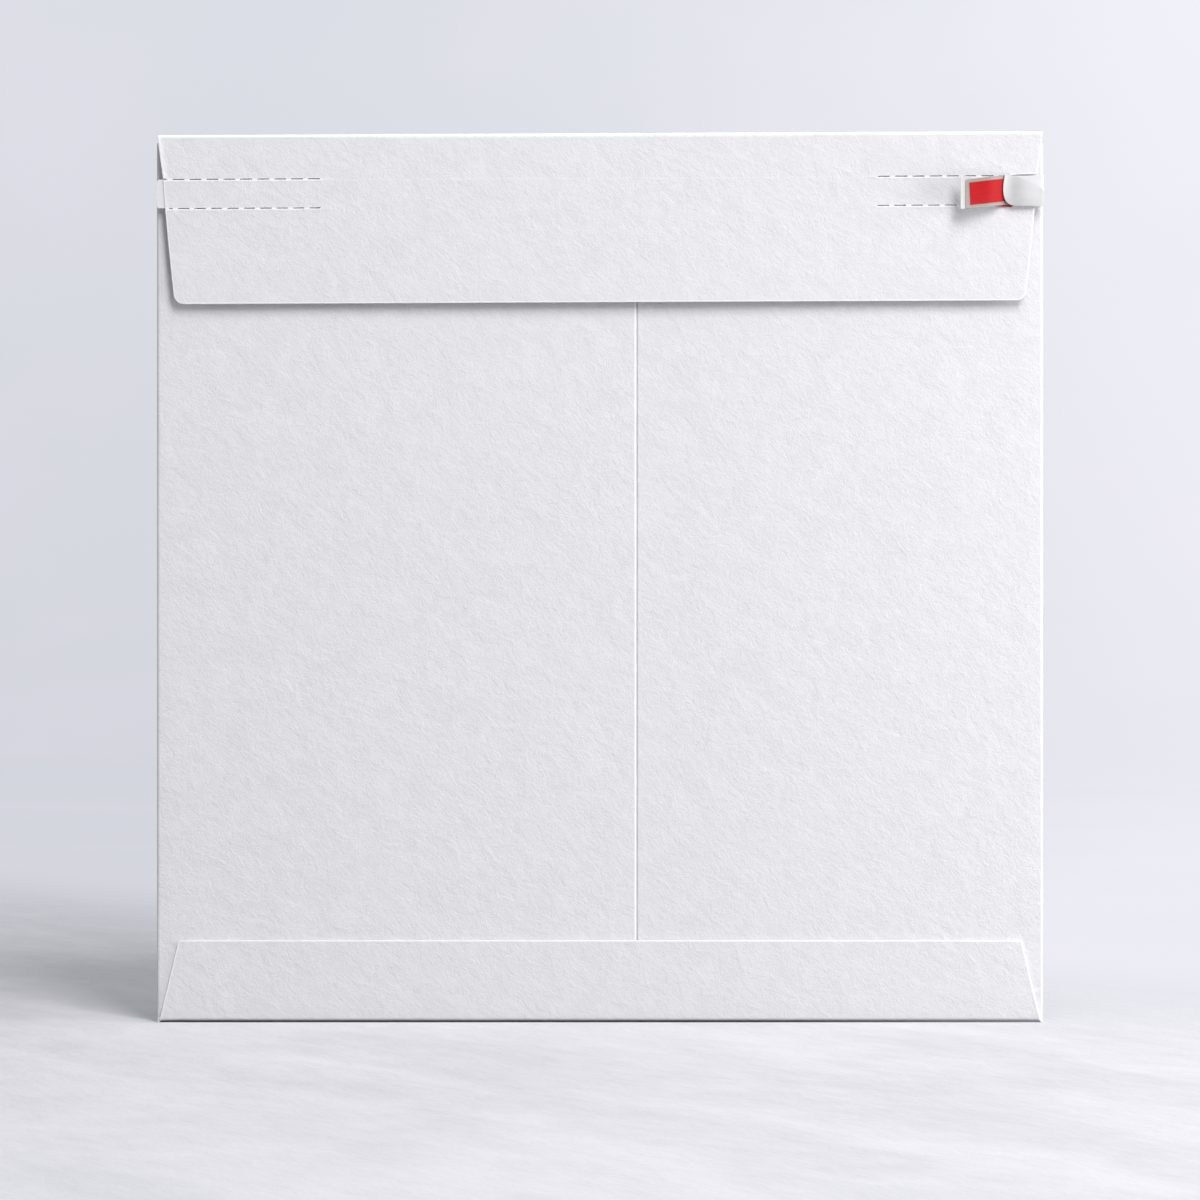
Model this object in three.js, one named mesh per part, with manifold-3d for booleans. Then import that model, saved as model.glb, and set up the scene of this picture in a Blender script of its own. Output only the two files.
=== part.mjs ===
// A square board envelope that stands on its bottom fold, with a perforated tear strip in its closure flap.
// Millimetres, +Z up. The closure side faces -Y and the address side +Y. The origin is the middle of the
// flat strip that the envelope stands on.

import * as THREE from "three";
import { mergeVertices } from "three/addons/utils/BufferGeometryUtils.js";
import Module from "manifold-3d";

const wasm = await Module();
wasm.setup();

// The folded envelope
const bodyWidth = 220;
const bodyHeight = 220.5;
const bodyDepth = 6.6;
const board = 0.5;
const creaseRadius = 0.8;
const creaseGap = 0.12;
const glueLine = 0.1;

// The two back panels and their seam
const seamX = 9;
const seamLap = 14;
const seamRun = 26;
const seamGlueWidth = 9;
const seamGlueInset = 2;
const throatDrop = 2.5;
const wallTopDrop = 1.2;

// The bottom flap
const bottomFlapHeight = 20.4;
const bottomFlapInset = 5.2;
const bottomGlueWidth = 9;
const bottomGlueInset = 5;

// The closure flap
const flapStandOff = 2.4;
const flapDepth = 42;
const flapSideRelief = 0.3;
const shoulderDrop = 11;
const shoulderInset = 1.8;
const flapInset = 4.6;
const flapCornerRadius = 2.6;
const cornerSteps = 8;

// The tear strip and its perforations
const stripDrop = 11.1;
const stripWidth = 7.2;
const perforatedLength = 39;
const upperLeftPitch = 4.2;
const lowerLeftPitch = 4.07;
const upperRightPitch = 4.27;
const lowerRightPitch = 4.19;
const perforationBridge = 1.2;
const perforationWidth = 0.3;
const tornLength = 6.2;
const tornWidth = 0.6;

// The tear tape
const tapeThickness = 0.2;
const tapeWidth = 7.1;
const tapeTabCorner = 0.8;
const tapeFoldRadius = 0.6;
const tapeFoldSetIn = 0.1;
const foldSteps = 8;

// The pull tab, a laminate on the loose end of the tape
const tabLength = 21.8;
const tabFlatLength = 6.9;
const tabBendRadius = 5;
const tabLift = 42;
const tabRiseLength = 2;
const tabTipLift = 12;
const tabBendSteps = 6;
const tabLayerGap = 0.1;
const tabDroopStart = 9;
const tabEndDrop = 1.6;
const leadEndLength = 1.7;
const leadEndWidth = 8.2;
const leadEndRise = 0.5;
const linerThickness = 0.15;
const linerWidth = 7.2;
const linerRootInset = 6.6;
const linerCorner = 0.5;
const redThickness = 0.15;
const redWidth = 5.5;
const redMargin = 1;
const redSliverLength = 4.6;
const redSliverDrop = 0.35;
const coverThickness = 0.25;
const coverLength = 10;
const coverWidth = 7.6;
const coverBulge = 0.7;
const coverEndArc = 0.9;
const coverFall = 2.6;
const coverCorner = 0.8;
const coverSteps = 12;

// The closing glue and its liner
const adhesiveRise = 6;
const adhesiveWidth = 12;
const adhesiveEndInset = 10;
const adhesiveThickness = 0.1;
const releaseThickness = 0.12;
const releaseMargin = 1;

// Places that follow from the sizes
const halfWidth = bodyWidth / 2;
const frontY = bodyDepth / 2;
const backY = -bodyDepth / 2;
const wallX = halfWidth - creaseRadius;
const flapInnerY = backY - flapStandOff;
const flapOuterY = flapInnerY - board;
const creaseZ = bodyHeight - creaseRadius;
const throatZ = bodyHeight - throatDrop;
const flapEdgeZ = bodyHeight - flapDepth;
const stripTopZ = bodyHeight - stripDrop;
const stripLowZ = stripTopZ - stripWidth;
const stripMiddleZ = stripTopZ - stripWidth / 2;
const degree = Math.PI / 180;

// Colours as the photograph shows them, one finish a material
const paper = { color: 0xe9e9ee, roughness: 0.9, metalness: 0 };
const smoothPaper = { color: 0xdedee2, roughness: 0.62, metalness: 0 };
const glue = { color: 0xe6dfc8, roughness: 0.35, metalness: 0 };
const releasePaper = { color: 0xf2efe6, roughness: 0.4, metalness: 0 };
const greyLiner = { color: 0xb9aca2, roughness: 0.5, metalness: 0 };
const redTape = { color: 0xd62e32, roughness: 0.42, metalness: 0 };

const envelope = new THREE.Group();

function toSolid(geometry) {
  const bare = geometry.clone();
  bare.deleteAttribute("normal");
  bare.deleteAttribute("uv");
  const merged = mergeVertices(bare, 1e-5);
  const vertProperties = new Float32Array(merged.attributes.position.array);
  const triVerts = new Uint32Array(merged.index.array);
  return new wasm.Manifold(new wasm.Mesh({ numProp: 3, vertProperties, triVerts }));
}

function toGeometry(solid) {
  const { vertProperties, triVerts } = solid.getMesh();
  const geometry = new THREE.BufferGeometry();
  geometry.setAttribute("position", new THREE.BufferAttribute(vertProperties, 3));
  geometry.setIndex(new THREE.BufferAttribute(triVerts, 1));
  geometry.computeVertexNormals();
  return geometry;
}

function addPiece(name, solid, finish) {
  const material = new THREE.MeshStandardMaterial({ ...finish, flatShading: true });
  const mesh = new THREE.Mesh(toGeometry(solid), material);
  mesh.name = name;
  envelope.add(mesh);
}

function extrude(points, depth) {
  return new THREE.ExtrudeGeometry(new THREE.Shape(points), { depth, bevelEnabled: false });
}

// An outline drawn in the plan (x, y) and raised from one height to another
function raised(points, lowZ, highZ) {
  const geometry = extrude(points, highZ - lowZ);
  geometry.translate(0, 0, lowZ);
  return toSolid(geometry);
}

// An outline drawn face on (x, z) and given a thickness from one y to another
function sheet(points, lowY, highY) {
  const geometry = extrude(points, highY - lowY);
  geometry.rotateX(Math.PI / 2);
  geometry.translate(0, highY, 0);
  return toSolid(geometry);
}

// A section drawn from the side (y, z) and run along x
function run(points, lowX, highX) {
  const geometry = extrude(points, highX - lowX);
  geometry.applyMatrix4(new THREE.Matrix4().set(0, 0, 1, lowX, 1, 0, 0, 0, 0, 1, 0, 0, 0, 0, 0, 1));
  return toSolid(geometry);
}

function box(lowX, highX, lowY, highY, lowZ, highZ) {
  const geometry = new THREE.BoxGeometry(highX - lowX, highY - lowY, highZ - lowZ);
  geometry.translate((lowX + highX) / 2, (lowY + highY) / 2, (lowZ + highZ) / 2);
  return toSolid(geometry);
}

function arcPoints(centreX, centreY, radius, from, to, steps) {
  const points = [];
  for (let i = 0; i <= steps; i += 1) {
    const angle = (from + ((to - from) * i) / steps) * degree;
    points.push(new THREE.Vector2(centreX + radius * Math.cos(angle), centreY + radius * Math.sin(angle)));
  }
  return points;
}

// The section of a crease: the board bent round a small radius, from one angle to another
function bend(centreX, centreY, outer, thickness, from, to, steps) {
  const outside = arcPoints(centreX, centreY, outer, from, to, steps);
  const inside = arcPoints(centreX, centreY, outer - thickness, to, from, steps);
  return [...outside, ...inside];
}

function rectangle(lowU, highU, lowV, highV) {
  return [
    new THREE.Vector2(lowU, lowV),
    new THREE.Vector2(highU, lowV),
    new THREE.Vector2(highU, highV),
    new THREE.Vector2(lowU, highV),
  ];
}

// A crease that still moves is parted at 45 degrees, with half of the gap on each side
const halfGapAngle = creaseGap / 2 / creaseRadius / degree;

function makeFrontPanel() {
  const flat = sheet(rectangle(-wallX, wallX, creaseRadius, creaseZ), frontY - board, frontY);
  const centreY = frontY - creaseRadius;
  const topBend = bend(centreY, creaseZ, creaseRadius, board, 0, 45 - halfGapAngle, cornerSteps / 2);
  addPiece("front_panel", flat.add(run(topBend, -wallX, wallX)), paper);
}

// A side wall is the narrow strip between two creases. Its top is cut on a slant, from the front
// panel's crease down to the throat of the back panels.
function makeSideWall(name, side) {
  const outerX = side * halfWidth;
  const centreX = side * wallX;
  const frontCentreY = frontY - creaseRadius;
  const backCentreY = backY + creaseRadius;
  const frontAngles = side > 0 ? [0, 90] : [180, 90];
  const backAngles = side > 0 ? [0, -90] : [180, 270];
  const lowX = Math.min(outerX, outerX - side * board);
  const flat = raised(rectangle(lowX, lowX + board, backCentreY, frontCentreY), 0, bodyHeight);
  const frontBend = bend(centreX, frontCentreY, creaseRadius, board, ...frontAngles, cornerSteps);
  const backBend = bend(centreX, backCentreY, creaseRadius, board, ...backAngles, cornerSteps);
  const wall = flat.add(raised(frontBend, 0, bodyHeight)).add(raised(backBend, 0, bodyHeight));
  const slant = [
    new THREE.Vector2(frontY + board, bodyHeight - wallTopDrop),
    new THREE.Vector2(backY, throatZ),
    new THREE.Vector2(backY - board, throatZ),
    new THREE.Vector2(backY - board, bodyHeight + board),
    new THREE.Vector2(frontY + board, bodyHeight + board),
  ];
  addPiece(name, wall.subtract(run(slant, -bodyWidth, bodyWidth)), paper);
}

// The left back panel is flat. The right one dips under it by its own thickness and the glue line.
function makeBackPanels() {
  const lowZ = creaseRadius;
  const left = sheet(rectangle(-wallX, seamX, lowZ, throatZ), backY, backY + board);
  addPiece("left_back_panel", left, paper);
  const dip = board + glueLine;
  const lapX = seamX - seamLap;
  const section = [
    new THREE.Vector2(lapX, backY + dip),
    new THREE.Vector2(seamX + board, backY + dip),
    ...dipCurve(seamX + board, seamX + seamRun, backY + dip, backY),
    new THREE.Vector2(wallX, backY),
    new THREE.Vector2(wallX, backY + board),
    ...dipCurve(seamX + board, seamX + seamRun, backY + dip + board, backY + board).reverse(),
    new THREE.Vector2(seamX + board, backY + dip + board),
    new THREE.Vector2(lapX, backY + dip + board),
  ];
  addPiece("right_back_panel", raised(section, lowZ, throatZ), paper);
  const glueHighX = seamX - seamGlueInset;
  const seamGlue = sheet(
    rectangle(glueHighX - seamGlueWidth, glueHighX, lowZ + seamGlueInset, throatZ - seamGlueInset),
    backY + board,
    backY + dip,
  );
  addPiece("centre_seam_glue", seamGlue, glue);
}

// Half a cosine wave carries a sheet smoothly from one depth to another
function dipCurve(fromX, toX, fromY, toY) {
  const points = [];
  for (let i = 1; i <= cornerSteps; i += 1) {
    const share = i / cornerSteps;
    const ease = (1 - Math.cos(Math.PI * share)) / 2;
    points.push(new THREE.Vector2(fromX + (toX - fromX) * share, fromY + (toY - fromY) * ease));
  }
  return points;
}

// The bottom wall runs under the back panels, from the front panel's crease to the bottom flap's
function makeBottom() {
  const flapBackY = backY - glueLine;
  const frontCentreY = frontY - creaseRadius;
  const flapCentreY = flapBackY - board + creaseRadius;
  const wall = run(rectangle(flapCentreY, frontCentreY, 0, board), -wallX, wallX)
    .add(run(bend(frontCentreY, creaseRadius, creaseRadius, board, -90, 0, cornerSteps), -wallX, wallX))
    .add(run(bend(flapCentreY, creaseRadius, creaseRadius, board, 180, 270, cornerSteps), -wallX, wallX));
  addPiece("bottom_wall", wall, paper);
  const outline = [
    new THREE.Vector2(-wallX, creaseRadius),
    new THREE.Vector2(wallX, creaseRadius),
    new THREE.Vector2(halfWidth - bottomFlapInset, bottomFlapHeight),
    new THREE.Vector2(-halfWidth + bottomFlapInset, bottomFlapHeight),
  ];
  addPiece("bottom_flap", sheet(outline, flapBackY - board, flapBackY), paper);
  const glueX = halfWidth - bottomFlapInset - bottomGlueInset;
  const glueHighZ = bottomFlapHeight - bottomGlueInset / 2;
  const strip = sheet(rectangle(-glueX, glueX, glueHighZ - bottomGlueWidth, glueHighZ), flapBackY, backY);
  addPiece("bottom_flap_glue", strip, glue);
}

function makeTopWall() {
  const halfLength = halfWidth - flapSideRelief;
  const frontCentreY = frontY - creaseRadius;
  const flapCentreY = flapOuterY + creaseRadius;
  const section = rectangle(flapCentreY, frontCentreY, bodyHeight - board, bodyHeight);
  const flat = run(section, -halfLength, halfLength);
  const half = cornerSteps / 2;
  const frontBend = bend(frontCentreY, creaseZ, creaseRadius, board, 45 + halfGapAngle, 90, half);
  const flapBend = bend(flapCentreY, creaseZ, creaseRadius, board, 90, 135 - halfGapAngle, half);
  const wall = flat.add(run(frontBend, -halfLength, halfLength)).add(run(flapBend, -halfLength, halfLength));
  addPiece("top_wall", wall, paper);
}

// How far the flap's side edge lies in from the body's side at a height
function flapSideX(z) {
  const drop = bodyHeight - z;
  if (drop < shoulderDrop) {
    return halfWidth - flapSideRelief - ((shoulderInset - flapSideRelief) * drop) / shoulderDrop;
  }
  const share = (drop - shoulderDrop) / (flapDepth - shoulderDrop);
  return halfWidth - shoulderInset - (flapInset - shoulderInset) * share;
}

function flapOutline() {
  const shoulderZ = bodyHeight - shoulderDrop;
  const lean = Math.atan2(flapInset - shoulderInset, flapDepth - shoulderDrop) / degree;
  const cornerX = flapSideX(flapEdgeZ + flapCornerRadius) - flapCornerRadius * Math.cos(lean * degree);
  const right = [
    ...arcPoints(cornerX, flapEdgeZ + flapCornerRadius, flapCornerRadius, -90, -lean, cornerSteps),
    new THREE.Vector2(flapSideX(shoulderZ), shoulderZ),
    new THREE.Vector2(flapSideX(creaseZ), creaseZ),
  ];
  const left = right.map((point) => new THREE.Vector2(-point.x, point.y)).reverse();
  return [...right, ...left];
}

// One row of cuts on one side of the flap, from the inner end out to the side edge. The last cut is
// what is left of the pitch there, and the bridges between the cuts hold the strip in the flap.
function perforations(side, rowZ, pitch, lastX) {
  const cuts = [];
  const startX = halfWidth - shoulderInset - perforatedLength;
  for (let x = startX; x + perforationWidth < lastX; x += pitch) {
    const endX = Math.min(x + pitch - perforationBridge, lastX);
    const lowX = Math.min(side * x, side * endX);
    const highX = Math.max(side * x, side * endX);
    const halfCut = perforationWidth / 2;
    cuts.push(box(lowX, highX, flapOuterY - board, flapInnerY + board, rowZ - halfCut, rowZ + halfCut));
  }
  return cuts;
}

// Beside the pull tab the strip is already torn free, along both rows and out through the side edge
function tornCut(rowZ, openDirection) {
  const innerX = flapSideX(rowZ) - tornLength;
  const outerX = halfWidth + board;
  const halfCut = perforationWidth / 2;
  const outline = [
    new THREE.Vector2(innerX, rowZ - halfCut),
    new THREE.Vector2(outerX, rowZ - halfCut - (openDirection < 0 ? tornWidth - perforationWidth : 0)),
    new THREE.Vector2(outerX, rowZ + halfCut + (openDirection > 0 ? tornWidth - perforationWidth : 0)),
    new THREE.Vector2(innerX, rowZ + halfCut),
  ];
  return sheet(outline, flapOuterY - board, flapInnerY + board);
}

function makeClosureFlap() {
  let flap = sheet(flapOutline(), flapOuterY, flapInnerY);
  const flapCentreY = flapOuterY + creaseRadius;
  const halfLength = flapSideX(creaseZ);
  const flapBend = bend(flapCentreY, creaseZ, creaseRadius, board, 135 + halfGapAngle, 180, cornerSteps / 2);
  flap = flap.add(run(flapBend, -halfLength, halfLength));
  // At the left the last cut of the upper row runs out through the side edge, as a notch to start the tear
  const rightEnd = (rowZ) => flapSideX(rowZ) - tornLength - perforationBridge;
  const cuts = [
    ...perforations(-1, stripTopZ, upperLeftPitch, halfWidth),
    ...perforations(-1, stripLowZ, lowerLeftPitch, flapSideX(stripLowZ) - perforationBridge),
    ...perforations(1, stripTopZ, upperRightPitch, rightEnd(stripTopZ)),
    ...perforations(1, stripLowZ, lowerRightPitch, rightEnd(stripLowZ)),
    tornCut(stripTopZ, 1),
    tornCut(stripLowZ, -1),
  ];
  for (const cut of cuts) {
    flap = flap.subtract(cut);
  }
  addPiece("closure_flap", flap, paper);
}

// The tape lies on the flap's inner face behind the strip. Its left end shows as a tab with round
// corners, and its right end turns round the flap's edge up to the top of its fold.
const foldApexX = halfWidth - tapeFoldSetIn;
const foldCentreX = foldApexX - tapeFoldRadius;
const foldCentreY = flapInnerY + tapeThickness - tapeFoldRadius;

function makeTearTape() {
  const lowZ = stripMiddleZ - tapeWidth / 2;
  const highZ = stripMiddleZ + tapeWidth / 2;
  const tabX = -foldApexX;
  const outline = [
    ...arcPoints(tabX + tapeTabCorner, lowZ + tapeTabCorner, tapeTabCorner, 180, 270, cornerSteps / 2),
    new THREE.Vector2(foldCentreX, lowZ),
    new THREE.Vector2(foldCentreX, highZ),
    ...arcPoints(tabX + tapeTabCorner, highZ - tapeTabCorner, tapeTabCorner, 90, 180, cornerSteps / 2),
  ];
  const flat = sheet(outline, flapInnerY, flapInnerY + tapeThickness);
  const foldGapAngle = creaseGap / 2 / tapeFoldRadius / degree;
  const fold = bend(foldCentreX, foldCentreY, tapeFoldRadius, tapeThickness, foldGapAngle, 90, foldSteps);
  addPiece("tear_tape", flat.add(raised(fold, lowZ, highZ)), smoothPaper);
}

// The line that the back of the pull tab follows in plan: flat along the flap, a bend away from it, a
// short rise, and a bend back to its nearly level end. The offset moves the line towards the viewer, by
// the layers that lie below.
const tabBackY = foldCentreY - tapeFoldRadius + tapeThickness;
const bendStartX = foldCentreX - tabFlatLength;
const droopStartX = foldCentreX - tabDroopStart;
const bentLength = tabBendRadius * (2 * tabLift - tabTipLift) * degree;
const tipLength = tabLength - tabFlatLength - bentLength - tabRiseLength;

function tabLine(offset, fromX) {
  const lift = tabLift * degree;
  const tipLift = tabTipLift * degree;
  const centreY = tabBackY - tabBendRadius;
  const points = [new THREE.Vector2(fromX, tabBackY - offset)];
  points.push(...arcPoints(bendStartX, centreY, tabBendRadius - offset, 90, 90 + tabLift, tabBendSteps));
  const rising = new THREE.Vector2(-Math.cos(lift), -Math.sin(lift));
  const risen = points[points.length - 1].clone().addScaledVector(rising, tabRiseLength);
  const backRadius = tabBendRadius + offset;
  const backX = risen.x - backRadius * Math.sin(lift);
  const backCentreY = risen.y + backRadius * Math.cos(lift);
  points.push(...arcPoints(backX, backCentreY, backRadius, tabLift - 90, tabTipLift - 90, tabBendSteps));
  const level = new THREE.Vector2(-Math.cos(tipLift), -Math.sin(tipLift));
  points.push(points[points.length - 1].clone().addScaledVector(level, tipLength));
  return points;
}

// A layer of the tab, between two offsets and cut to its outline as seen face on
function tabLayer(nearOffset, thickness, fromX, outline) {
  const section = [...tabLine(nearOffset, fromX), ...tabLine(nearOffset + thickness, fromX).reverse()];
  const lowZ = stripMiddleZ - bodyHeight / 4;
  const highZ = stripMiddleZ + bodyHeight / 4;
  return raised(section, lowZ, highZ).intersect(sheet(outline, flapOuterY - tabLength, flapInnerY + board));
}

// The tab runs level at its root, and droops from there to its loose end
function tabMiddleZ(x) {
  return stripMiddleZ - (tabEndDrop * Math.max(0, droopStartX - x)) / (tabLength - tabDroopStart);
}

function droopingOutline(lowX, highX, width, rise = 0) {
  const stations = [...new Set([lowX, droopStartX, highX])].filter((x) => x >= lowX && x <= highX);
  const lower = stations.map((x) => new THREE.Vector2(x, tabMiddleZ(x) + rise - width / 2));
  const upper = stations.map((x) => new THREE.Vector2(x, tabMiddleZ(x) + rise + width / 2));
  return [...lower, ...upper.reverse()];
}

function makePullTab() {
  const tip = tabLine(0, foldCentreX).pop();
  const leadEndX = tip.x + leadEndLength;
  const endOutline = droopingOutline(tip.x - board, leadEndX, leadEndWidth, leadEndRise);
  const lead = tabLayer(0, tapeThickness, foldCentreX, droopingOutline(leadEndX, foldCentreX, tapeWidth))
    .add(tabLayer(0, tapeThickness, foldCentreX, endOutline));
  const foldGapAngle = creaseGap / 2 / tapeFoldRadius / degree;
  const fold = bend(foldCentreX, foldCentreY, tapeFoldRadius, tapeThickness, -90, -foldGapAngle, foldSteps);
  const foldLowZ = tabMiddleZ(foldCentreX) - tapeWidth / 2;
  addPiece("pull_tab_lead", lead.add(raised(fold, foldLowZ, foldLowZ + tapeWidth)), smoothPaper);

  const linerOffset = tapeThickness + tabLayerGap;
  const linerRootX = foldCentreX - linerRootInset;
  const linerEndX = leadEndX - board;
  const linerLowZ = tabMiddleZ(linerEndX) - linerWidth / 2;
  const linerOutline = [
    ...arcPoints(linerEndX + linerCorner, linerLowZ + linerCorner, linerCorner, 180, 270, cornerSteps / 2),
    ...droopingOutline(linerEndX, linerRootX, linerWidth).slice(1, -1),
    ...arcPoints(
      linerEndX + linerCorner,
      linerLowZ + linerWidth - linerCorner,
      linerCorner,
      90,
      180,
      cornerSteps / 2,
    ),
  ];
  addPiece("pull_tab_liner", tabLayer(linerOffset, linerThickness, linerRootX, linerOutline), greyLiner);

  const redOffset = linerOffset + linerThickness + tabLayerGap;
  const redOutline = droopingOutline(linerEndX + redMargin, linerRootX, redWidth);
  addPiece("pull_tab_tape", tabLayer(redOffset, redThickness, linerRootX, redOutline), redTape);

  const leadLowZ = (x) => tabMiddleZ(x) - tapeWidth / 2;
  const sliverLowX = bendStartX - redSliverLength;
  const sliver = [
    new THREE.Vector2(sliverLowX, leadLowZ(sliverLowX) - tabLayerGap),
    new THREE.Vector2(sliverLowX, leadLowZ(sliverLowX) - tabLayerGap * 2),
    new THREE.Vector2(bendStartX, leadLowZ(bendStartX) - tabLayerGap - redSliverDrop),
    new THREE.Vector2(bendStartX, leadLowZ(bendStartX) - tabLayerGap),
  ];
  addPiece("pull_tab_tape_return", tabLayer(0, redThickness, bendStartX, sliver), redTape);

  const coverOffset = redOffset + redThickness + tabLayerGap;
  addPiece("pull_tab_cover", coverSolid(coverOffset), smoothPaper);
}

// The cover is a smooth finger piece that swells over the root of the tab. Its loose end is a round
// lip, and its upper edge falls towards the other end.
function coverSolid(offset) {
  const highX = foldApexX - tapeThickness;
  const lowX = highX - coverLength;
  const inner = [];
  const outer = [];
  for (let i = 0; i <= coverSteps; i += 1) {
    const share = i / coverSteps;
    const x = highX - coverLength * share;
    const y = tabBackY - coverBulge * Math.sin(Math.PI * share) - layerRise(x, offset);
    inner.push(new THREE.Vector2(x, y));
    outer.push(new THREE.Vector2(x, y - coverThickness));
  }
  const lowZ = tabMiddleZ(highX) - coverWidth / 2;
  const highZ = lowZ + coverWidth;
  const lipRadius = (coverWidth * coverWidth / 4 + coverEndArc * coverEndArc) / (2 * coverEndArc);
  const lipHalf = Math.asin(coverWidth / 2 / lipRadius) / degree;
  const lipX = lowX + lipRadius;
  const outline = [
    ...arcPoints(lipX, (lowZ + highZ) / 2, lipRadius, 180 - lipHalf, 180 + lipHalf, coverSteps),
    ...arcPoints(highX - tapeTabCorner, lowZ + tapeTabCorner, tapeTabCorner, 270, 360, cornerSteps / 2),
    ...arcPoints(highX - coverCorner, highZ - coverFall - coverCorner, coverCorner, 0, 90, cornerSteps / 2),
  ];
  const swell = raised([...inner, ...outer.reverse()], lowZ - board, highZ + board);
  return swell.intersect(sheet(outline, flapOuterY - tabLength, flapInnerY + board));
}

// How far in front of the tab's flat back a layer at an offset lies, in the first bend and before it
function layerRise(x, offset) {
  const past = Math.max(0, bendStartX - x);
  const radius = tabBendRadius - offset;
  return tabBendRadius - Math.sqrt(Math.max(0, radius * radius - past * past));
}

// The closing glue and the liner that keeps it fresh, on the flap's inner face below the tear strip
function makeClosingStrip() {
  const lowZ = flapEdgeZ + adhesiveRise;
  const highZ = lowZ + adhesiveWidth;
  const endX = halfWidth - adhesiveEndInset;
  const glueInnerY = flapInnerY + adhesiveThickness;
  const adhesive = sheet(rectangle(-endX, endX, lowZ, highZ), flapInnerY, glueInnerY);
  addPiece("closure_adhesive", adhesive, glue);
  const liner = sheet(
    rectangle(-endX - releaseMargin, endX + releaseMargin, lowZ - releaseMargin, highZ + releaseMargin),
    glueInnerY,
    glueInnerY + releaseThickness,
  );
  addPiece("release_liner", liner, releasePaper);
}

makeFrontPanel();
makeSideWall("left_side_wall", -1);
makeSideWall("right_side_wall", 1);
makeBackPanels();
makeBottom();
makeTopWall();
makeClosureFlap();
makeTearTape();
makePullTab();
makeClosingStrip();

export default envelope;
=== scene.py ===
import math

import bmesh
import bpy
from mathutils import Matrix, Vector, kdtree, noise
from mathutils.geometry import delaunay_2d_cdt


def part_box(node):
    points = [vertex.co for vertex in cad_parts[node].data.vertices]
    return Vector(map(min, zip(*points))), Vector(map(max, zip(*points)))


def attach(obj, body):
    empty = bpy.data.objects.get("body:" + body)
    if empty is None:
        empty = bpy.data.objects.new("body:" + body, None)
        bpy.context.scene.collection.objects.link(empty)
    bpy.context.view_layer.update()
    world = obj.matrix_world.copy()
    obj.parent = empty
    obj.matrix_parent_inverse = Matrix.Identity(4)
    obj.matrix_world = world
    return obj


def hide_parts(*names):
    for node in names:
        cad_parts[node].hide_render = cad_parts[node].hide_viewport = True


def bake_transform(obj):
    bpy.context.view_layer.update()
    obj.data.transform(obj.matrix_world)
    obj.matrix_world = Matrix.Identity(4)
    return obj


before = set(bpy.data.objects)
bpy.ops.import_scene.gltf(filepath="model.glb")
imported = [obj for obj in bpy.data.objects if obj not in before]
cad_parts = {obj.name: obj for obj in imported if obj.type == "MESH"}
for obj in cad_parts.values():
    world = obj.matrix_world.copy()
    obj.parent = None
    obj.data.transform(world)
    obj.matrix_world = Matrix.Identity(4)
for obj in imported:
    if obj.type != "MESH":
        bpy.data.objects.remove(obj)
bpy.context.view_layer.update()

bpy.context.scene.view_settings.view_transform = "Standard"
mm = 0.001


# The camera stands level in front of the closure side, a little under half way up the envelope. A long
# lens keeps the upright edges upright. The view is 298 mm wide where the side creases are at their widest.
def box_mm(node):
    """The lowest and highest corner of a CAD node, in millimetres."""
    low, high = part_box(node)
    return Vector(low) / mm, Vector(high) / mm


def put_in_scene(name, data):
    """Makes an object of a mesh, a lamp or a camera."""
    thing = bpy.data.objects.new(name, data)
    bpy.context.scene.collection.objects.link(thing)
    return thing


view_width = 298
camera_distance = 1200
camera_height = 104.8
crease_radius = 0.8
widest_y = box_mm("left_side_wall")[0].y + crease_radius
camera_data = bpy.data.cameras.new("photo_camera")
camera_data.lens = camera_data.sensor_width * camera_distance / view_width
camera = put_in_scene("photo_camera", camera_data)
camera.location = (0, (widest_y - camera_distance) * mm, camera_height * mm)
camera.rotation_euler = (math.radians(90), 0, 0)
bpy.context.scene.camera = camera


# The studio is a pale plaster floor that runs into a round backdrop. The floor is lit and keeps the
# envelope's shadow; further out, and to the right behind the envelope, it glows in the backdrop's lavender
# grey instead. The backdrop's glowing tone paints its shade: darker on the left and low down.
def add_node(tree, kind, inputs=None, **settings):
    """Adds a shader node. Each input is named or numbered, and holds a value or the output that feeds it."""
    node = tree.nodes.new("ShaderNode" + kind)
    for key, value in settings.items():
        setattr(node, key, value)
    for key, value in (inputs or {}).items():
        if isinstance(value, bpy.types.NodeSocket):
            tree.links.new(value, node.inputs[key])
        else:
            node.inputs[key].default_value = value
    return node


def new_material(name):
    """A material without nodes yet, and the tree that they go into."""
    material = bpy.data.materials.new(name)
    material.use_nodes = True
    material.node_tree.nodes.clear()
    return material, material.node_tree


def new_effect(name, inputs, outputs):
    """An empty shader node group with named sockets, and its own input and output nodes."""
    tree = bpy.data.node_groups.new(name, "ShaderNodeTree")
    for label, kind, value in inputs:
        socket = tree.interface.new_socket(name=label, in_out="INPUT", socket_type="NodeSocket" + kind)
        socket.default_value = value
    for label, kind in outputs:
        tree.interface.new_socket(name=label, in_out="OUTPUT", socket_type="NodeSocket" + kind)
    return tree, tree.nodes.new("NodeGroupInput"), tree.nodes.new("NodeGroupOutput")


def work_out(tree, how, first, second):
    """Adds a Math node and returns its result."""
    return add_node(tree, "Math", {0: first, 1: second}, operation=how).outputs[0]


def spread_out(tree, value, low, high, to_low=0.0, to_high=1.0, how="LINEAR"):
    """Takes a value from one range to another and holds it at both ends."""
    inputs = {"Value": value, "From Min": low, "From Max": high, "To Min": to_low, "To Max": to_high}
    return add_node(tree, "MapRange", inputs, interpolation_type=how).outputs[0]


def blend_colours(tree, share, first, second, how="MIX"):
    inputs = {"Factor": share, "A": first, "B": second}
    return add_node(tree, "Mix", inputs, data_type="RGBA", blend_type=how).outputs["Result"]


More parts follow.
